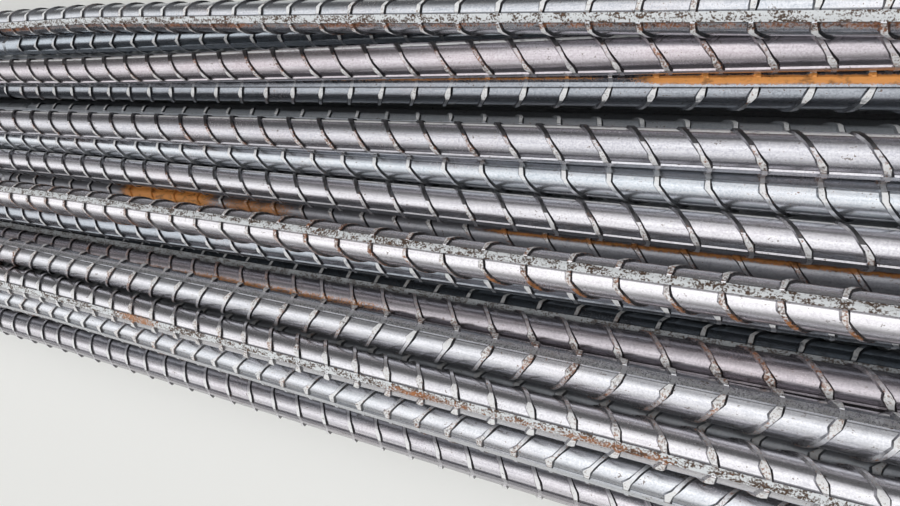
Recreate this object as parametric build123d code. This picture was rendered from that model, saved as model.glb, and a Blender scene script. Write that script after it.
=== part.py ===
from build123d import *
from math import atan2, cos, pi, sin, sqrt
import os

# Driving dimensions, in mm. X runs along the bars, Z is up.
bar_diameter = 16.0
bar_length = 6000.0
bar_gap = 0.4            # air between neighbouring bars
end_stagger = 12.0       # the most that a bar's end stands in or out
wire_diameter = 5.5
wire_sides = 8           # the wire is thin, so few sides are enough
wire_gap = 0.3           # air between a tie and the bars under it
tie_places = [-0.4, -0.15, 0.15, 0.4]    # along the bars, in bar lengths
loose_run = 430.0        # middle stretch where the top bars shift sideways
knot_turns = 1.5
knot_lay = 26.0          # height of one full turn of the knot
knot_tail = 14.0

# Sizes that follow.
bar_radius = bar_diameter / 2
pitch = bar_diameter + bar_gap
wire_radius = wire_diameter / 2
floor_to_bars = wire_diameter + wire_gap
row_rise = pitch * sqrt(3) / 2

# Straight rows from the bottom up, each nested on the one below.
straight_rows = [10, 11, 12]

# Laid rows, in the order they are laid. Each bar has its place across the bundle, in
# pitches, on the left of the loose run and on the right of it.
laid_rows = [
    [
        (-6, -6.4), (-5, -5), (-4, -4), (-3, -3), (-2, -2), (-1, -1), (0, 0),
        (1, 1), (2, 2), (3, 3), (4.3, 4.3), (5.3, 5.3), (6.3, 6.3),
    ],
    [
        (-4.75, -5.4), (-3.75, -4.05), (-2.6, -2.45), (-1.35, -1), (0.7, 0.55),
        (1.7, 1.6), (3.9, 4), (5.85, 5.95),
    ],
    [(-4, -4.4), (-2.95, -3.25), (-0.75, -0.95), (2.1, 2.35), (4.15, 4.6)],
    [(6.3, 4.8)],
]


def stagger(count):
    """How far the bar numbered count is shifted along X."""
    return end_stagger * sin(2.4 * count)


def stations():
    """X of the ends and the two slight bends of a laid bar."""
    half = bar_length / 2 + end_stagger
    loose = loose_run / 2
    return [-half, -loose, loose, half]


def between(x, stops, values):
    """Value at x of the bent line through the stops."""
    for left, right, low, high in zip(stops, stops[1:], values, values[1:]):
        if x <= right:
            return low + (high - low) * (x - left) / (right - left)
    return values[-1]


def seat(stops, across, laid):
    """Lowest centre heights at which a bar clears every bar laid before it."""
    steps = 80
    heights = [floor_to_bars + bar_radius] * len(stops)
    marks = stops + [stops[0] + (stops[-1] - stops[0]) * i / steps for i in range(steps + 1)]
    for x in marks:
        y = between(x, stops, across)
        needed = 0
        for other_across, other_heights in laid:
            gap = abs(y - between(x, stops, other_across))
            if gap < pitch:
                needed = max(needed, between(x, stops, other_heights) + sqrt(pitch**2 - gap**2))
        short = needed - between(x, stops, heights)
        if short > 0:
            nearest = min(range(len(stops)), key=lambda i: abs(stops[i] - x))
            lift = [1.0 if i == nearest else 0.0 for i in range(len(stops))]
            heights[nearest] += short / between(x, stops, lift)
    return heights


def straight_bar(y, z, count):
    start = -bar_length / 2 + stagger(count)
    plane = Plane(origin=(start, y, z), x_dir=(0, 1, 0), z_dir=(1, 0, 0))
    return extrude(plane * Circle(bar_radius), bar_length)


def laid_bar(stops, across, heights, count):
    start = -bar_length / 2 + stagger(count)
    sections = Sketch()
    for x in [start] + stops[1:-1] + [start + bar_length]:
        centre = (x, between(x, stops, across), between(x, stops, heights))
        sections += Plane(origin=centre, x_dir=(0, 1, 0), z_dir=(1, 0, 0)) * Circle(bar_radius)
    return loft(sections, ruled=True)


def corners_round(centres):
    """Corners, counter-clockwise seen from +X, of the outline round (y, z) centres."""
    ordered = sorted(centres)
    corners = []
    for points in (ordered, ordered[::-1]):
        chain = []
        for y, z in points:
            while len(chain) > 1:
                (y0, z0), (y1, z1) = chain[-2:]
                if (y1 - y0) * (z - z0) - (z1 - z0) * (y - y0) > 0.01:
                    break
                chain.pop()
            chain.append((y, z))
        corners += chain[:-1]
    return corners


def straight_runs(x, corners):
    """Start, end, direction and outward normal of the wire's run over each side."""
    reach = bar_radius + wire_gap + wire_radius
    runs = []
    for (y0, z0), (y1, z1) in zip(corners, corners[1:] + corners[:1]):
        along = Vector(0, y1 - y0, z1 - z0).normalized()
        out = Vector(0, along.Z, -along.Y)
        runs.append((Vector(x, y0, z0) + out * reach, Vector(x, y1, z1) + out * reach, along, out))
    return runs


def knot_strand(middle, along, out, side):
    """One of the two twisted strands: the bend off the bars, the twist and the tail."""
    offset = wire_radius + wire_gap / 2
    bend = 2.0 * wire_diameter
    climb = knot_lay / (2 * pi)
    steepness = atan2(climb, offset)
    heading = along * -side
    beside = Vector(side * offset, 0, 0)

    def on_bend(angle):
        return middle + beside + heading * bend * (sin(angle) - sin(steepness)) + out * bend * (1 - cos(angle))

    curl = ThreePointArc(on_bend(0), on_bend(steepness / 2), on_bend(steepness))
    foot = middle + out * bend * (1 - cos(steepness))
    twist = Plane(origin=foot, x_dir=beside, z_dir=out) * Helix(
        pitch=knot_lay, height=knot_lay * knot_turns, radius=offset
    )
    return [curl, twist, Line(twist @ 1, twist @ 1 + twist % 1 * knot_tail)]


def wire_tie(x, centres):
    """A wire once round the bars at x, its two ends twisted together on top."""
    corners = corners_round(centres)
    runs = straight_runs(x, corners)
    sides = range(len(runs))
    top = max((i for i in sides if runs[i][3].Z > 0.3), key=lambda i: (runs[i][1] - runs[i][0]).length)
    bottom = min(sides, key=lambda i: runs[i][3].Z)
    start, end, along, out = runs[top]
    middle = (start + end) * 0.5
    reach = bar_radius + wire_gap + wire_radius
    first = knot_strand(middle, along, out, 1)
    last = knot_strand(middle, along, out, -1)
    edges = first[::-1]
    shift = Vector(wire_radius + wire_gap / 2, 0, 0)
    here = first[0] @ 0
    order = [(top + step) % len(runs) for step in range(len(runs))]
    for i in order:
        start, end, along, out = runs[i]
        if i == bottom:
            halfway = (start + end) * 0.5
            edges.append(TangentArc(here, halfway, tangent=along))
            edges.append(TangentArc(halfway, end - shift, tangent=edges[-1] % 1))
            shift = shift * -1
        else:
            edges.append(Line(here, end + shift))
        following = runs[(i + 1) % len(runs)]
        corner = end - out * reach + shift
        crown = corner + (out + following[3]).normalized() * reach
        here = following[0] + shift
        edges.append(ThreePointArc(end + shift, crown, here))
    edges.append(Line(here, last[0] @ 0))
    edges += last
    path = Wire(edges)
    section = Plane(origin=path @ 0, z_dir=path % 0) * RegularPolygon(wire_radius, wire_sides)
    return sweep(section, path=path)


def build():
    os.makedirs("parts", exist_ok=True)
    stops = stations()
    laid = []
    rows = []
    for level, bars in enumerate(straight_rows):
        z = floor_to_bars + bar_radius + level * row_rise
        solids = []
        for i in range(bars):
            y = (i - (bars - 1) / 2) * pitch
            solids.append(straight_bar(y, z, len(laid)))
            laid.append(([y] * len(stops), [z] * len(stops)))
        rows.append(solids)
    for places in laid_rows:
        solids = []
        for left, right in places:
            across = [place * pitch for place in (left, left, right, right)]
            heights = seat(stops, across, laid)
            if left == right:
                heights = [max(heights)] * len(stops)
                solids.append(straight_bar(across[0], heights[0], len(laid)))
            else:
                solids.append(laid_bar(stops, across, heights, len(laid)))
            laid.append((across, heights))
        rows.append(solids)
    for i, solids in enumerate(rows):
        export_step(Compound(children=solids), f"parts/bars_row_{i + 1}.step")
    for i, place in enumerate(tie_places):
        x = place * bar_length
        centres = [(between(x, stops, across), between(x, stops, heights)) for across, heights in laid]
        export_step(wire_tie(x, centres), f"parts/wire_tie_{i + 1}.step")


build()
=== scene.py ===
from math import cos, pi, radians, sin

import bpy
import numpy as np
from mathutils import Matrix, Vector


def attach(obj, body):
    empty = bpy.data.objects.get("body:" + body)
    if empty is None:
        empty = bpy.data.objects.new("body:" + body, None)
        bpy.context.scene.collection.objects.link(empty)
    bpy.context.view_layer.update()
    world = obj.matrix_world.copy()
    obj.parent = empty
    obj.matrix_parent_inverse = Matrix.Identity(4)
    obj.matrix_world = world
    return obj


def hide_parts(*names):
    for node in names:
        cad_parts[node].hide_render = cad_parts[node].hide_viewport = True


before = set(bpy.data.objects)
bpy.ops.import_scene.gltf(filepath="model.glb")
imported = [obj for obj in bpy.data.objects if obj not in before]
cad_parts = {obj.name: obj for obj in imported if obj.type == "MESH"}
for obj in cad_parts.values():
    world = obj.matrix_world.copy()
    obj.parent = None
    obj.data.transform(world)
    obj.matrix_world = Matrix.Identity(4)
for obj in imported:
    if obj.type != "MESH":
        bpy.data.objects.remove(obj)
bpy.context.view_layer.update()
mm = 0.001

# The camera looks down on the middle of the bundle from close by.
cameraSet = {
    "place": Vector((0.176, -0.0304, 0.3363)),
    "aim": Vector((0.0545, -0.0132, 0.09)),
    "roll": -9.29,           # degrees the picture is turned about the view line
    "lens": 26.0,
    "sensor": 36.0,
    "clip": (0.01, 100.0),   # m, the nearest and the farthest that it sees
}


def makeCamera(settings):
    data = bpy.data.cameras.new("camera")
    data.lens = settings["lens"]
    data.sensor_width = settings["sensor"]
    data.clip_start, data.clip_end = settings["clip"]
    camera = bpy.data.objects.new("camera", data)
    bpy.context.scene.collection.objects.link(camera)
    ahead = (settings["aim"] - settings["place"]).normalized()
    level = (Vector((0, 1, 0)) - ahead * ahead.y).normalized()     # up in the picture, before the roll
    turn = radians(settings["roll"])
    up = level * cos(turn) + ahead.cross(level) * sin(turn)
    camera.matrix_world = Matrix((ahead.cross(up), up, -ahead)).transposed().to_4x4()
    camera.location = settings["place"]
    bpy.context.scene.camera = camera


makeCamera(cameraSet)
print("camera placed")


def colour(value):
    # sRGB hex to linear red, green, blue and alpha
    parts = [int(value[i:i + 2], 16) / 255 for i in (1, 3, 5)]
    return tuple(c / 12.92 if c <= 0.04045 else ((c + 0.055) / 1.055) ** 2.4 for c in parts) + (1.0,)


def addNode(tree, kind, settings, inputs, output=0):
    # settings are the node's own properties; an input is a number, a colour or another node's output
    node = tree.nodes.new(kind)
    for name, value in settings.items():
        setattr(node, name, value)
    for name, value in inputs.items():
        if isinstance(value, bpy.types.NodeSocket):
            tree.links.new(value, node.inputs[name])
        else:
            node.inputs[name].default_value = value
    return node.outputs[output] if len(node.outputs) else node


# Hot-rolled bar, as it left the mill: a hard blue-grey to lilac scale, half glossy, so that each bar
# carries long pale and dark bands, with fine grit and streaks drawn out along it.
steelSet = {
    "scaleDark": "#7a7c80",
    "scalePale": "#e6e6e8",
    "cool": "#8aa2b0",
    "warm": "#b09a9f",
    "flaked": "#dde0e2",         # where scale has flaked off the long ribs
    # on the pads and the corners this near white is also a painted highlight
    "rubbedAndHighlight": "#f2f2f2",         # bare metal on the ribs' pads and on edges
    "speck": "#4a3728",
    # near black: painted shade on the cross ribs' flanks, in the hollows and on the dark wedges, and grime
    "shadeAndGrime": "#141316",
    "rustDark": "#38241b",
    "rustLight": "#a96a40",
    "ochre": "#ffb060",
    # cells per mm, detail, roughness and stretch of each pattern
    "streaks": (1.0, 5.0, 0.65, (0.03, 0.7, 0.7)),
    "mottle": (0.35, 5.0, 0.68, (0.6, 1, 1)),
    "patches": (1.0, 2.0, 0.5, (0.02, 0.05, 0.05)),
    "grit": (1.2, 3.0, 0.7, (1, 1, 1)),     # drawn coarser than real grit, to show
    # how much each pattern lightens the scale, and what is added to the three, so that they even out
    "toneShares": {"streaks": 0.5, "mottle": 0.4, "grit": 0.7},
    "toneShift": -0.8,
    "hueShift": -0.5,            # added to the patches, which turn the scale from cool to warm
    "tint": 0.45,                # how strongly that hue colours it
    # the pattern's values between which each of these goes from none to full
    "ranges": {
        "rubbedAndHighlight": (0.3, 0.45),
        "flaked": (0.9, 1.3),
        "pits": (1.17, 1.25),
        "specks": (0.99, 1.07),
        "rusted": (1.12, 1.32),
        "rustLight": (0.4, 0.66),
        "yellow": (0.25, 0.5),
    },
    "pitDepth": 0.8,             # how dark the small pits all over the scale are
    "rustPatches": 0.5,          # how much the patches gather or clear the rust
    "roughness": 0.21,
    "streakRoughness": 0.1,      # more by up to this on streaks
    "dullRoughness": 0.3,        # and on dull places
    "metallic": 0.92,
    "dullMetallic": -0.9,        # added on dull places
    "bump": 0.014,               # mm
    "bumpStrength": 0.8,
    "streakBump": 0.1,           # height of the streaks, as a share of the grit's
}


def hotRolledBar():
    material = bpy.data.materials.new("hotRolledBarSteel")
    material.use_nodes = True
    tree = material.node_tree
    tree.nodes.clear()
    place = addNode(tree, "ShaderNodeTexCoord", {}, {}, "Object")
    inMm = addNode(tree, "ShaderNodeMapping", {}, {"Vector": place, "Scale": (1 / mm, 1 / mm, 1 / mm)})
    pattern = {}
    for name in ("streaks", "mottle", "patches", "grit"):
        scale, detail, roughness, stretch = steelSet[name]
        where = addNode(tree, "ShaderNodeMapping", {}, {"Vector": inMm, "Scale": stretch})
        shape = {"Vector": where, "Scale": scale, "Detail": detail, "Roughness": roughness}
        pattern[name] = addNode(tree, "ShaderNodeTexNoise", {}, shape)
    mark = {}
    for name in ("pale", "warm", "wearAndHighlight", "specks", "shadeAndGrime", "dusty", "rust", "ochre"):
        mark[name] = addNode(tree, "ShaderNodeAttribute", {"attribute_name": name}, {}, "Fac")
    within = {}
    for name, (low, high) in steelSet["ranges"].items():
        within[name] = {"From Min": low, "From Max": high}
    scaled = {"operation": "MULTIPLY_ADD"}
    heldScaled = {"operation": "MULTIPLY_ADD", "use_clamp": True}
    summed = {"operation": "ADD"}
    heldSum = {"operation": "ADD", "use_clamp": True}
    product = {"operation": "MULTIPLY"}
    larger = {"operation": "MAXIMUM"}
    mixed = {"data_type": "RGBA"}
    tinted = {"data_type": "RGBA", "blend_type": "OVERLAY"}

    # lightness and hue of the scale
    tone = steelSet["toneShift"]
    for name, share in steelSet["toneShares"].items():
        tone = addNode(tree, "ShaderNodeMath", scaled, {0: pattern[name], 1: share, 2: tone})
    tone = addNode(tree, "ShaderNodeMath", heldSum, {0: mark["pale"], 1: tone})
    body = {0: tone, 6: colour(steelSet["scaleDark"]), 7: colour(steelSet["scalePale"])}
    body = addNode(tree, "ShaderNodeMix", mixed, body, 2)
    hue = addNode(tree, "ShaderNodeMath", heldSum, {0: pattern["patches"], 1: steelSet["hueShift"]})
    hue = addNode(tree, "ShaderNodeMath", heldSum, {0: hue, 1: mark["warm"]})
    tint = {0: hue, 6: colour(steelSet["cool"]), 7: colour(steelSet["warm"])}
    tint = addNode(tree, "ShaderNodeMix", mixed, tint, 2)
    body = addNode(tree, "ShaderNodeMix", tinted, {0: steelSet["tint"], 6: body, 7: tint}, 2)

    # rubbed edges and pads, partly a painted highlight, then flaked places with specks left in their
    # hollows, pits all over, and near-black painted shade with some grime
    rubbedAndHighlight = addNode(tree, "ShaderNodeMapRange", {}, {"Value": pattern["mottle"], **within["rubbedAndHighlight"]})
    rubbedAndHighlight = addNode(tree, "ShaderNodeMath", product, {0: rubbedAndHighlight, 1: mark["wearAndHighlight"]})
    flaked = addNode(tree, "ShaderNodeMath", summed, {0: pattern["grit"], 1: mark["specks"]})
    flaked = addNode(tree, "ShaderNodeMapRange", {}, {"Value": flaked, **within["flaked"]})
    hollows = addNode(tree, "ShaderNodeMath", summed, {0: pattern["mottle"], 1: pattern["grit"]})
    pits = {"Value": hollows, "To Max": steelSet["pitDepth"], **within["pits"]}
    pits = addNode(tree, "ShaderNodeMapRange", {}, pits)
    specks = addNode(tree, "ShaderNodeMapRange", {}, {"Value": hollows, **within["specks"]})
    specks = addNode(tree, "ShaderNodeMath", product, {0: specks, 1: flaked})
    covers = [(rubbedAndHighlight, "rubbedAndHighlight"), (flaked, "flaked"), (pits, "speck"), (specks, "speck")]
    covers.append((mark["shadeAndGrime"], "shadeAndGrime"))
    for amount, name in covers:
        body = addNode(tree, "ShaderNodeMix", mixed, {0: amount, 6: body, 7: colour(steelSet[name])}, 2)

    # rust over all that, dark to light, and ochre in places
    rusted = addNode(tree, "ShaderNodeMath", summed, {0: mark["rust"], 1: pattern["grit"]})
    rusted = {0: pattern["patches"], 1: steelSet["rustPatches"], 2: rusted}
    rusted = addNode(tree, "ShaderNodeMath", scaled, rusted)
    rusted = addNode(tree, "ShaderNodeMapRange", {}, {"Value": rusted, **within["rusted"]})
    light = addNode(tree, "ShaderNodeMapRange", {}, {"Value": pattern["mottle"], **within["rustLight"]})
    rust = {0: light, 6: colour(steelSet["rustDark"]), 7: colour(steelSet["rustLight"])}
    rust = addNode(tree, "ShaderNodeMix", mixed, rust, 2)
    yellow = addNode(tree, "ShaderNodeMapRange", {}, {"Value": pattern["mottle"], **within["yellow"]})
    yellow = addNode(tree, "ShaderNodeMath", product, {0: yellow, 1: mark["ochre"]})
    rust = addNode(tree, "ShaderNodeMix", mixed, {0: yellow, 6: rust, 7: colour(steelSet["ochre"])}, 2)
    body = addNode(tree, "ShaderNodeMix", mixed, {0: rusted, 6: body, 7: rust}, 2)

    # dull where it is rusted, flaked, rubbed or dusty
    dull = rusted
    for amount in (flaked, rubbedAndHighlight, mark["dusty"]):
        dull = addNode(tree, "ShaderNodeMath", larger, {0: dull, 1: amount})
    rough = {0: pattern["streaks"], 1: steelSet["streakRoughness"], 2: steelSet["roughness"]}
    rough = addNode(tree, "ShaderNodeMath", scaled, rough)
    rough = addNode(tree, "ShaderNodeMath", heldScaled, {0: dull, 1: steelSet["dullRoughness"], 2: rough})
    metal = {0: dull, 1: steelSet["dullMetallic"], 2: steelSet["metallic"]}
    metal = addNode(tree, "ShaderNodeMath", heldScaled, metal)
    relief = {0: pattern["streaks"], 1: steelSet["streakBump"], 2: pattern["grit"]}
    relief = addNode(tree, "ShaderNodeMath", scaled, relief)
    relief = {"Height": relief, "Distance": steelSet["bump"] * mm, "Strength": steelSet["bumpStrength"]}
    relief = addNode(tree, "ShaderNodeBump", {}, relief)
    surface = {"Base Color": body, "Roughness": rough, "Metallic": metal, "Normal": relief}
    shader = addNode(tree, "ShaderNodeBsdfPrincipled", {}, surface)
    addNode(tree, "ShaderNodeOutputMaterial", {}, {"Surface": shader})
    return material


hotRolled = hotRolledBar()
print("steel made")

# The bars: a core that is flat beside its two long ribs and round between, and cross ribs that run
# square to the long ribs over the flats and slant over the round.
barSet = {
    "core": 7.7,             # mm, radius between the ribs
    "height": 1.0,           # of the cross ribs
    "longRise": 0.2,         # of the long ribs' tops over the core
    "longHalf": 13.0,        # degrees, half the width of a long rib
    "longFoot": 15.5,
    "hollow": 3.0,           # degrees that the hollow beside a long rib takes up
    "flatMiddle": 28.0,      # degrees from a long rib
    "flatTo": 40.0,          # degrees from a long rib at which the flat ends and the round starts
    "flatLean": 19.0,        # degrees that the flats lean away from square to the long rib
    "fineRound": [54, 68, 83, 97, 112, 126],     # degrees at which the round has edges where finely cut
    "plainRound": [60, 120],     # and elsewhere
    "squareSlope": 0.2,      # mm along per mm round
    "slope": 0.75,
    "crest": 0.8,            # half the width of a cross rib on top
    "foot": 1.45,            # half its width at the core
    "wobble": 0.16,          # how far a cross rib strays from its course, in a wave round the bar
    "wobbleStep": 2.4,       # radians of that wave from one rib to the next
    "wobbleTurn": 9.0,       # degrees round the bar for each radian of it
    "pad": 1.7,              # wider by this towards -X where it turns
    "padMiddle": 0.55,       # as a share, over the middle of the flat
    "padTo": 52.0,           # degrees from a long rib at which it is no wider
    "wedgeTo": 75.0,         # and on the dark wedges of the bars with rubbed upper edges
    "nearFrom": -310.0,      # mm along, the stretch with finely cut ribs
    "nearTo": 234.0,
    "endRun": 24.0,          # and at the bars' ends
    "insidePitch": 400.0,    # mm, for bars inside the bundle, so that their ends have no cross ribs
    "ribReach": 30.0,        # mm, more than a cross rib runs along its bar
    "slack": 0.1,            # degrees, for rounding
    "ringDepth": 0.6,        # mm along a bar within which vertices are one ring
}

# How strong each mark is, from 0 to 1, and where it lies. The upper side is the +Y one.
markSet = {
    # rubbed metal, near white: on the pads and corners it is also a painted highlight, on the crests wear
    # only
    "wearAndHighlight": {"pad": 0.9, "corner": 1.0, "crest": 0.2},
    # painted shade: dark lines on both flanks of each cross rib, darker on the +X one, dark wedges on the
    # upper side, and shade with grime in the hollows beside the long ribs
    "shadeAndGrime": {"right": 0.8, "left": 0.35, "hollow": 0.6, "wedge": 0.9},
    "cutEnd": {"wearAndHighlight": 0.6, "shadeAndGrime": 0.1, "specks": 0.45},
    "flatSpecks": 0.24,      # on the flats, where the long ribs have 1
    # On that upper side the cross ribs of bars with rubbed edges get dark wedges of painted shade.
    "upperSide": (-100, -5),     # degrees from up, where the wedges of rubbed bars lie
    "wedgeFrom": 0.6,        # bars with more rubbed edges than this have them
    # The rubbed edges there also carry a painted highlight.
    "cornerSide": (-90, -20),    # degrees from up, where the rubbed edges lie
    "cornerRun": 12.0,       # degrees, width of a fully rubbed edge
    "coreRust": 0.18,
    "longRust": 0.1,
    "flakedRust": 0.13,      # more by this on fully flaked long ribs
    "wedgeRust": 0.6,        # share of a cross rib's rust that its wedge has
    "spotSoft": 12.0,        # degrees round the bar over which a spot of rust fades
    "spotFade": 25.0,        # and mm along it
}

# How each ribbed bar lies and looks, from the -Y side of its row to the +Y side. roll is the turn of the
# long rib that the cross ribs point to, in degrees from up towards -Y; at and pitch place the cross
# ribs along the bar, in mm. The rest goes from 0 to 1: how pale and how warm its scale is, how flaked
# its long ribs, how rusty its cross ribs, how far round the upper edge beside its flat is rubbed and
# carries a painted highlight, how wide the cross ribs are where they turn, how much darker it is all
# over, and how dull with dust.
plain = {
    "roll": 20, "at": 0, "pitch": 17.8, "pale": 0.45, "warm": 0.5, "flaked": 0.1, "rusty": 0.3,
    "edge": 0.2, "pad": 0.6, "darkened": 0.0, "dusty": 0.0,
}
# its paler scale is painted light: it lifts the deep shaded gaps where these bars show
hidden = dict(plain, pale=0.65, warm=0.2, dusty=0.45)     # coarsely ribbed, as the camera misses it
inside = dict(hidden, darkened=0.5)     # no cross ribs, and plain round between its ends
barLooks = {
    "bars_row_1": [hidden] + [inside] * 8 + [hidden],
    "bars_row_2": [hidden] + [inside] * 9 + [hidden],
    "bars_row_3": [hidden] + [inside] * 10 + [hidden],
    "bars_row_4": [
        dict(plain, roll=-142, at=-24.4, pitch=16.0, pale=0.65, warm=0.7, rusty=0.2, pad=0.3),
        hidden,
        hidden,
        hidden,
        dict(plain, roll=-1, at=-13.5, pitch=16.85, pale=0.3, warm=0.0, flaked=0.7, pad=0.0, darkened=0.42),
        hidden,
        dict(plain, roll=-50, at=-11.7, pitch=19.4, pale=0.3, rusty=0.4, pad=0.3, dusty=0.4),
        hidden,
        hidden,
        dict(plain, roll=175, pitch=18.2, pale=0.7, warm=0.1, rusty=0.1, edge=0.0, pad=0.1, dusty=0.45),
        hidden,
        hidden,
        hidden,
    ],
    "bars_row_5": [
        dict(plain, roll=55, at=-12.6, pitch=15.0, pale=0.75, warm=0.3, rusty=0.36, edge=0.4, pad=0.7),
        dict(hidden, darkened=0.6),
        dict(plain, roll=-131, at=-23.8, pitch=17.6, pale=0.42, warm=0.85, rusty=0.42, pad=1.0),
        dict(plain, roll=-107, at=-32.6, pitch=18.2, warm=0.2, rusty=0.2, edge=0.5),
        dict(plain, roll=-109, at=-30.8, pitch=18.8, pale=0.7, warm=0.65, rusty=0.38, edge=0.65, pad=0.4),
        dict(plain, roll=-24, at=-17.6, pitch=18.7, pale=0.7, warm=0.1, rusty=0.25, edge=0.0, pad=0.2),
        dict(plain, roll=-176, at=-29.7, pitch=18.15, pale=0.28, warm=0.3, flaked=0.2, pad=0.7),
        dict(plain, roll=80, at=-15.5, pitch=19.5, warm=0.1, rusty=0.2, edge=0.65, pad=0.4),
    ],
    "bars_row_6": [
        dict(plain, roll=-157, at=-21.6, pitch=16.1, pale=0.75, warm=0.6, flaked=1.0, rusty=0.36, pad=0.9),
        dict(plain, roll=138, at=-18.8, pitch=17.4, pale=0.75, warm=0.45, flaked=0.45, rusty=0.4, pad=1.0),
        dict(plain, roll=-16, at=-18.7, pitch=18.05, pale=0.85, warm=0.75, flaked=1.0, rusty=0.46, pad=0.2),
        dict(plain, roll=-97, at=-27.8, pitch=18.6, pale=0.6, warm=0.55, rusty=0.4, edge=1.0, pad=0.5),
        dict(plain, roll=-86, at=-24.6, pitch=18.2, pale=0.55, warm=0.9, rusty=0.4, edge=1.0, pad=0.5),
    ],
    "bars_row_7": [
        dict(plain, roll=35, at=-10.6, pitch=18.95, pale=0.65, warm=0.3, flaked=0.9, edge=0.0, pad=0.2),
    ],
}

# Rust as it shows, by row and bar: from and to in mm along, its middle round the bar and half width
# in degrees, strength, how ochre it is, and how much of it there is off the cross ribs.
rustSpots = {
    ("bars_row_4", 6): [
        (-205, -100, -5, 50, 0.82, 0.85, 1),
        (-125, -40, 0, 30, 0.56, 0.4, 1),
        (40, 290, -8, 9, 0.8, 0.4, 1),
    ],
    ("bars_row_5", 2): [(-210, 40, 3, 12, 0.52, 0.5, 1)],
    ("bars_row_5", 6): [(105, 300, -6, 14, 0.9, 0.95, 1), (-70, 125, -10, 9, 0.6, 0.6, 1)],
    ("bars_row_6", 0): [(-150, -85, 24, 20, 0.5, 0.2, 1), (20, 170, 28, 16, 0.5, 0.1, 1)],
    ("bars_row_6", 2): [(40, 290, 60, 16, 0.62, 0.2, 0.4)],
    ("bars_row_7", 0): [(-400, 400, 60, 12, 0.5, 0.0, 1)],
}


def barCourses(node):
    # middle line of every bar of a node, as x, y, z in mm, from the -Y side on
    mesh = node.data
    points = np.array([vertex.co for vertex in mesh.vertices]) / mm
    keys = {}
    welded = [keys.setdefault(tuple(point), len(keys)) for point in np.round(points, 1)]
    parent = list(range(len(keys)))

    def root(i):
        while parent[i] != i:
            parent[i] = parent[parent[i]]
            i = parent[i]
        return i

    for edge in mesh.edges:
        parent[root(welded[edge.vertices[0]])] = root(welded[edge.vertices[1]])
    islands = {}
    for point, key in zip(points, welded):
        islands.setdefault(root(key), []).append(point)
    courses = []
    for island in islands.values():
        island = np.array(island)
        stops = []
        for x in np.unique(np.round(island[:, 0])):
            ring = island[abs(island[:, 0] - x) < barSet["ringDepth"]]
            stops.append((ring.min(axis=0) + ring.max(axis=0)) / 2)
        courses.append(np.array(stops))
    return sorted(courses, key=lambda stops: np.interp(0, stops[:, 0], stops[:, 1]))


def ribDrift(away):
    # how far along the bar a cross rib has got, away degrees from the long rib it starts at
    around = np.radians(away) * barSet["core"]
    turn = radians(barSet["flatTo"]) * barSet["core"]
    far = radians(180) * barSet["core"] - turn
    slanted = np.clip(around, turn, far) - turn
    return barSet["squareSlope"] * around + (barSet["slope"] - barSet["squareSlope"]) * slanted


def ringOf(fine):
    # angles round the bar, how far each is from the first long rib, and from the nearer one
    longFoot = barSet["longFoot"]
    flank, across = [longFoot], barSet["plainRound"]
    if fine:
        flank = [barSet["longHalf"], longFoot, longFoot + barSet["hollow"]]
        flank += [barSet["flatMiddle"], barSet["flatTo"]]
        across = barSet["fineRound"]
    side = [0] + flank + across + [180 - angle for angle in reversed(flank)]
    angles = np.array(side + [180 + angle for angle in side], dtype=float)
    away = np.where(angles > 180, 360 - angles, angles)
    return angles, away, np.minimum(away, 180 - away)


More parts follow.
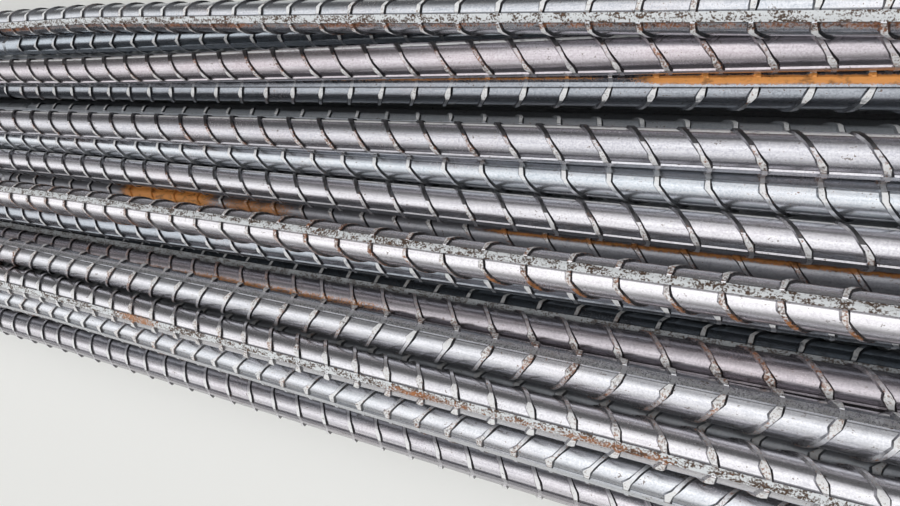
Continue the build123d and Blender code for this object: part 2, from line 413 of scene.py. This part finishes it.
def skin(course, look, start, end, fine, spots):
    # vertices, quads and their marks for one stretch of a bar
    core, crest, foot = barSet["core"], barSet["crest"], barSet["foot"]
    longFoot, flatMiddle, flatTo = barSet["longFoot"], barSet["flatMiddle"], barSet["flatTo"]
    slack, reach, lean = barSet["slack"], barSet["ribReach"], barSet["flatLean"]
    shift = look["at"]
    pitch = barSet["insidePitch"] if look is inside else look["pitch"]
    angles, away, near = ringOf(fine)
    drift = ribDrift(away)
    around = np.radians(angles + look["roll"])
    facing = (angles + look["roll"] + 180) % 360 - 180
    low, high = markSet["upperSide"]
    upper = (facing > low) & (facing < high) & (look["edge"] > markSet["wedgeFrom"])
    pad = np.interp(near, [longFoot, flatMiddle, flatTo, barSet["padTo"]], [0, barSet["padMiddle"], 1, 0])
    wedgePad = np.interp(near, [flatMiddle, flatTo, barSet["wedgeTo"]], [0, 1, 0])
    pad = np.where(upper, wedgePad, pad) * barSet["pad"] * look["pad"] * fine
    flat = core * cos(radians(flatTo - lean)) / np.cos(np.radians(near - lean))
    flat = np.where(near < flatTo, flat, core) if fine else np.full(near.shape, core)
    onLong = near < (barSet["longHalf"] if fine else longFoot) + slack

    # rings of one cross rib: how far from its middle, how high, and what lies beyond the ring
    if look is inside and not fine:
        profile = [(0, 0, "body")]
    elif fine:
        profile = [
            (-foot, 0, "left"), (-crest, 1, "crest"), (crest, 1, "right"), (foot, 0, "body"),
            (pitch / 2, 0, "body"),
        ]
    else:
        profile = [(-foot, 0, "crest"), (0, 1, "crest"), (foot, 0, "body")]
    rows = []
    kinds = []
    for rib in range(int((start - reach - shift) // pitch), int((end + reach - shift) // pitch) + 1):
        for offset, height, kind in profile:
            wave = np.sin(barSet["wobbleStep"] * rib + angles / barSet["wobbleTurn"] + len(rows))
            along = shift + rib * pitch + offset + drift + wave * barSet["wobble"] * fine
            if kind == "left" or (kind == "crest" and fine):
                along = along - pad
            radius = flat + height * barSet["height"]
            radius = np.where(onLong, core + barSet["longRise"], radius)
            rows.append((along, radius))
            kinds.append(kind)
    rows = np.array(rows)
    lowest, highest = rows[:, 0].min(axis=1), rows[:, 0].max(axis=1)
    keep = (np.append(highest[1:], end + 1) > start) & (np.append(start - 1, lowest[:-1]) < end)
    kinds = np.array(kinds)[keep]
    along = np.clip(rows[keep, 0], start, end)
    radius = rows[keep, 1]
    y = np.interp(along, course[:, 0], course[:, 1]) - radius * np.sin(around)
    z = np.interp(along, course[:, 0], course[:, 2]) + radius * np.cos(around)
    count, sides = along.shape
    index = np.arange(count * sides).reshape(count, sides)
    after = np.roll(index, -1, axis=1)
    quads = np.stack([index[:-1], after[:-1], after[1:], index[1:]], axis=2).reshape(-1, 4)

    # marks of the faces, by what they belong to and how far their middle is from the nearer long rib
    kind = np.repeat(kinds[:-1], sides).reshape(-1, sides)
    middle = ((near + np.roll(near, -1)) / 2)[None, :]
    longTop = (onLong & np.roll(onLong, -1))[None, :]
    padTop = (middle > longFoot) & (middle < barSet["padTo"]) & (kind == "crest") & fine
    hollow = abs(middle - longFoot - barSet["hollow"] / 2) < slack
    low, high = markSet["cornerSide"]
    corner = (middle > flatTo) & (middle < flatTo + markSet["cornerRun"] * look["edge"])
    corner = corner & (kind == "body") & (facing > low) & (facing < high)
    wedge = upper & (kind == "crest")
    wearAndHighlight = np.where(kind == "crest", markSet["wearAndHighlight"]["crest"], 0.0)
    # rubbed corners and pads: worn metal with a painted highlight
    wearAndHighlight = np.where(corner, markSet["wearAndHighlight"]["corner"], wearAndHighlight)
    wearAndHighlight = np.where(padTop & ~wedge, markSet["wearAndHighlight"]["pad"], wearAndHighlight)
    specks = np.where(middle < flatTo, markSet["flatSpecks"], 0.0)
    specks = np.where(longTop, 1.0, specks) * look["flaked"]
    # the hollow beside each long rib is darkened: painted shade in that corner, with some grime
    shadeAndGrime = np.where(hollow, markSet["shadeAndGrime"]["hollow"], 0.0)
    # both flanks of a cross rib are darkened with painted shade, the +X one more
    shadeAndGrime = np.where(kind == "left", markSet["shadeAndGrime"]["left"], shadeAndGrime)
    shadeAndGrime = np.where(kind == "right", markSet["shadeAndGrime"]["right"], shadeAndGrime)
    shadeAndGrime = np.where(longTop, 0.0, shadeAndGrime)
    # the wedges: painted shade on the upper ends of the cross ribs
    shadeAndGrime = np.where(wedge, markSet["shadeAndGrime"]["wedge"], shadeAndGrime)
    marks = {"wearAndHighlight": wearAndHighlight, "specks": specks, "shadeAndGrime": np.maximum(shadeAndGrime, look["darkened"])}
    marks = {name: np.broadcast_to(values, kind.shape).reshape(-1) for name, values in marks.items()}

    # marks of the vertices
    onRib = np.isin(kinds, ["crest", "right"])[:, None] & ~onLong[None, :]
    ribRust = look["rusty"] * np.where(upper, markSet["wedgeRust"], 1.0)
    longRust = markSet["longRust"] + markSet["flakedRust"] * look["flaked"]
    rust = np.where(onRib, ribRust, np.where(onLong, longRust, markSet["coreRust"]))
    ochre = np.zeros(along.shape)
    soft, fade = markSet["spotSoft"], markSet["spotFade"]
    for low, high, centre, width, strength, yellow, spread in spots:
        apart = abs((facing - centre + 180) % 360 - 180)[None, :]
        cover = np.clip((width - apart) / soft + 0.5, 0, 1)
        cover = cover * np.clip((along - low) / fade, 0, 1) * np.clip((high - along) / fade, 0, 1)
        cover = np.where(onRib, cover, cover * spread)
        rust = np.maximum(rust, strength * cover)
        ochre = np.maximum(ochre, yellow * cover)
    creases = near < longFoot + slack
    dots = {"rust": rust.reshape(-1), "ochre": ochre.reshape(-1), "crease": np.tile(creases, count)}
    return np.stack([along, y, z], axis=2).reshape(-1, 3), quads, marks, dots, index


def rowPiece(name, node, stretches):
    # joins stretches of bars into one piece that stands for their row
    vertices, quads, rings, caps, capLooks = [], [], [], [], []
    faceMarks = {"pale": [], "warm": [], "dusty": [], "wearAndHighlight": [], "shadeAndGrime": [], "specks": []}
    pointMarks = {"rust": [], "ochre": [], "crease": []}
    base = 0
    for course, look, start, end, fine, ends, spots in stretches:
        points, faces, marks, dots, index = skin(course, look, start, end, fine, spots)
        vertices.append(points)
        quads.append(faces + base)
        for key in ("pale", "warm", "dusty"):
            marks[key] = np.full(len(faces), look[key])
        for key, values in marks.items():
            faceMarks[key].append(values)
        for key, values in dots.items():
            pointMarks[key].append(values)
        for wanted, ring in zip(ends, (index[0], index[-1][::-1])):
            if wanted:
                caps.append(ring + base)
                capLooks.append(look)
        rings.append(np.repeat(np.arange(len(index)), index.shape[1]))
        base += len(points)
    for key, value in markSet["cutEnd"].items():
        faceMarks[key].append(np.full(len(caps), value))
    for key in ("pale", "warm", "dusty"):
        faceMarks[key].append(np.array([look[key] for look in capLooks]))
    allQuads = np.concatenate(quads)
    loops = np.concatenate([allQuads.reshape(-1)] + caps)
    sizes = np.array([4] * len(allQuads) + [len(ring) for ring in caps])
    mesh = bpy.data.meshes.new(name)
    mesh.vertices.add(base)
    mesh.vertices.foreach_set("co", (np.concatenate(vertices) * mm).reshape(-1))
    mesh.loops.add(len(loops))
    mesh.loops.foreach_set("vertex_index", loops.astype(np.int32))
    mesh.polygons.add(len(sizes))
    mesh.polygons.foreach_set("loop_start", (np.cumsum(sizes) - sizes).astype(np.int32))
    mesh.polygons.foreach_set("use_smooth", np.ones(len(sizes), dtype=bool))
    mesh.update(calc_edges=True)

    # edges are sharp between two rings of a rib, and along the long ribs
    pairs = np.empty(2 * len(mesh.edges), dtype=np.int32)
    mesh.edges.foreach_get("vertices", pairs)
    ring, crease = np.concatenate(rings)[pairs], np.concatenate(pointMarks.pop("crease"))[pairs]
    sharp = (ring[0::2] == ring[1::2]) | (crease[0::2] & crease[1::2])
    mesh.attributes.new("sharp_edge", "BOOLEAN", "EDGE").data.foreach_set("value", sharp)
    for domain, groups in (("FACE", faceMarks), ("POINT", pointMarks)):
        for key, values in groups.items():
            layer = mesh.attributes.new(key, "FLOAT", domain)
            layer.data.foreach_set("value", np.concatenate(values).astype(np.float32))
    piece = bpy.data.objects.new(name, mesh)
    bpy.context.scene.collection.objects.link(piece)
    even = piece.modifiers.new("evenShading", "WEIGHTED_NORMAL")     # or slanted faces bend the highlights
    even.mode = "FACE_AREA"
    even.keep_sharp = True
    mesh.materials.append(hotRolled)
    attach(piece, "root")
    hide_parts(node)
    print(name, sum(sizes) - 2 * len(sizes), "triangles")


nearFrom, nearTo, endRun = barSet["nearFrom"], barSet["nearTo"], barSet["endRun"]
noEnds = (False, False)
for rowName, looks in barLooks.items():
    left, middle, right = [], [], []
    for index, (course, look) in enumerate(zip(barCourses(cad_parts[rowName]), looks)):
        start, end = course[0, 0], course[-1, 0]
        first, last = start + endRun, end - endRun
        spots = rustSpots.get((rowName, index), [])
        left.append((course, look, start, first, True, (True, False), []))
        right.append((course, look, last, end, True, (False, True), []))
        if look is hidden or look is inside:
            left.append((course, look, first, 0, False, noEnds, []))
            right.append((course, look, 0, last, False, noEnds, []))
        else:
            left.append((course, look, first, nearFrom, False, noEnds, []))
            middle.append((course, look, nearFrom, nearTo, True, noEnds, spots))
            right.append((course, look, nearTo, last, False, noEnds, []))
    rowPiece(rowName + "_left", rowName, left)
    rowPiece(rowName + "_right", rowName, right)
    if middle:
        rowPiece(rowName + "_middle", rowName, middle)
print("bars made")

# Rolled wire for the ties: dull dark scale that has started to rust all over.
wireSet = {
    "scale": "#5c5652",
    "rust": "#8a5a3e",
    "bloom": (0.25, 4.0, 0.6),   # cells per mm, detail, roughness
    "rusted": (0.4, 0.6),        # its values between which the wire goes from scale to rust
    "roughness": 0.55,
    "metallic": 0.5,
    "bump": 0.08,                # mm
}


def rolledWire():
    material = bpy.data.materials.new("rolledTieWire")
    material.use_nodes = True
    tree = material.node_tree
    tree.nodes.clear()
    place = addNode(tree, "ShaderNodeTexCoord", {}, {}, "Object")
    inMm = addNode(tree, "ShaderNodeMapping", {}, {"Vector": place, "Scale": (1 / mm, 1 / mm, 1 / mm)})
    scale, detail, roughness = wireSet["bloom"]
    bloom = {"Vector": inMm, "Scale": scale, "Detail": detail, "Roughness": roughness}
    bloom = addNode(tree, "ShaderNodeTexNoise", {}, bloom)
    low, high = wireSet["rusted"]
    rusted = addNode(tree, "ShaderNodeMapRange", {}, {"Value": bloom, "From Min": low, "From Max": high})
    body = {0: rusted, 6: colour(wireSet["scale"]), 7: colour(wireSet["rust"])}
    body = addNode(tree, "ShaderNodeMix", {"data_type": "RGBA"}, body, 2)
    relief = addNode(tree, "ShaderNodeBump", {}, {"Height": bloom, "Distance": wireSet["bump"] * mm})
    surface = {"Base Color": body, "Normal": relief}
    surface.update({"Roughness": wireSet["roughness"], "Metallic": wireSet["metallic"]})
    shader = addNode(tree, "ShaderNodeBsdfPrincipled", {}, surface)
    addNode(tree, "ShaderNodeOutputMaterial", {}, {"Surface": shader})
    return material


tieWire = rolledWire()
for name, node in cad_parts.items():
    if name.startswith("wire_tie"):
        node.data.materials.clear()
        node.data.materials.append(tieWire)
print("ties made")

# A pale matte floor, so wide that it is the background from most sides.
floorSet = {
    "reach": 400.0,          # m
    "colour": "#f3f3f0",
}


def makeFloor(settings):
    reach = settings["reach"]
    mesh = bpy.data.meshes.new("floor")
    corners = [(-reach, -reach, 0), (reach, -reach, 0), (reach, reach, 0), (-reach, reach, 0)]
    mesh.from_pydata(corners, [], [(0, 1, 2, 3)])
    floor = bpy.data.objects.new("floor", mesh)
    bpy.context.scene.collection.objects.link(floor)
    material = bpy.data.materials.new("paleMatteFloor")
    material.use_nodes = True
    tree = material.node_tree
    tree.nodes.clear()
    shader = addNode(tree, "ShaderNodeBsdfDiffuse", {}, {"Color": colour(settings["colour"])})
    addNode(tree, "ShaderNodeOutputMaterial", {}, {"Surface": shader})
    mesh.materials.append(material)


makeFloor(floorSet)
print("floor made")

# Soft light from above, a little in front of the bars, which gives the long pale and dark bands
# along each bar. It is dim towards +X, so the ribs' flanks on that side are dark.
lightSet = {
    # degrees from straight above towards -Y, and level
    "bands": [
        (-100, 0.12), (-50, 0.09), (-32, 0.24), (-12, 0.82), (6, 1.43), (28, 1.43), (52, 0.92), (74, 0.34),
        (92, 0.17), (120, 0.15),
    ],
    "dimFrom": 0.3,          # how far towards +X a direction is, from 0 to 1, where the light starts to dim
    "dimTo": 0.8,
    "dim": -0.85,            # share of the light added there, so taken away
    "sky": 1.1,
    "sun": 0.4,
    "sunAngle": 20.0,        # degrees from straight above towards -Y
    "sunSize": 50.0,         # degrees across
}


def makeLight(settings):
    world = bpy.data.worlds.new("studio")
    bpy.context.scene.world = world
    world.use_nodes = True
    tree = world.node_tree
    tree.nodes.clear()
    place = addNode(tree, "ShaderNodeTexCoord", {}, {}, "Generated")
    along = addNode(tree, "ShaderNodeSeparateXYZ", {}, {"Vector": place}, "X")
    across = addNode(tree, "ShaderNodeSeparateXYZ", {}, {"Vector": place}, "Y")
    high = addNode(tree, "ShaderNodeSeparateXYZ", {}, {"Vector": place}, "Z")
    towards = addNode(tree, "ShaderNodeMath", {"operation": "MULTIPLY"}, {0: across, 1: -1.0})
    angle = addNode(tree, "ShaderNodeMath", {"operation": "ARCTAN2"}, {0: towards, 1: high})
    share = addNode(tree, "ShaderNodeMath", {"operation": "MULTIPLY_ADD"}, {0: angle, 1: 0.5 / pi, 2: 0.5})
    bands = addNode(tree, "ShaderNodeValToRGB", {}, {"Fac": share})
    stops = bands.node.color_ramp.elements
    for number, (degrees, level) in enumerate(settings["bands"]):
        stop = stops[number] if number < 2 else stops.new(1.0)     # a new ramp has two stops
        stop.position = degrees / 360 + 0.5
        stop.color = (level, level, level, 1)
    dimmed = {"Value": along, "From Min": settings["dimFrom"], "From Max": settings["dimTo"]}
    dimmed = addNode(tree, "ShaderNodeMapRange", {}, dimmed)
    strength = {0: dimmed, 1: settings["dim"] * settings["sky"], 2: settings["sky"]}
    strength = addNode(tree, "ShaderNodeMath", {"operation": "MULTIPLY_ADD"}, strength)
    sky = addNode(tree, "ShaderNodeBackground", {}, {"Color": bands, "Strength": strength})
    addNode(tree, "ShaderNodeOutputWorld", {}, {"Surface": sky})
    lamp = bpy.data.lights.new("sun", "SUN")
    lamp.energy = settings["sun"]
    lamp.angle = radians(settings["sunSize"])
    sun = bpy.data.objects.new("sun", lamp)
    bpy.context.scene.collection.objects.link(sun)
    sun.rotation_euler = (-radians(settings["sunAngle"]), 0, 0)


makeLight(lightSet)
bpy.context.scene.view_settings.view_transform = "Standard"
print("light made")
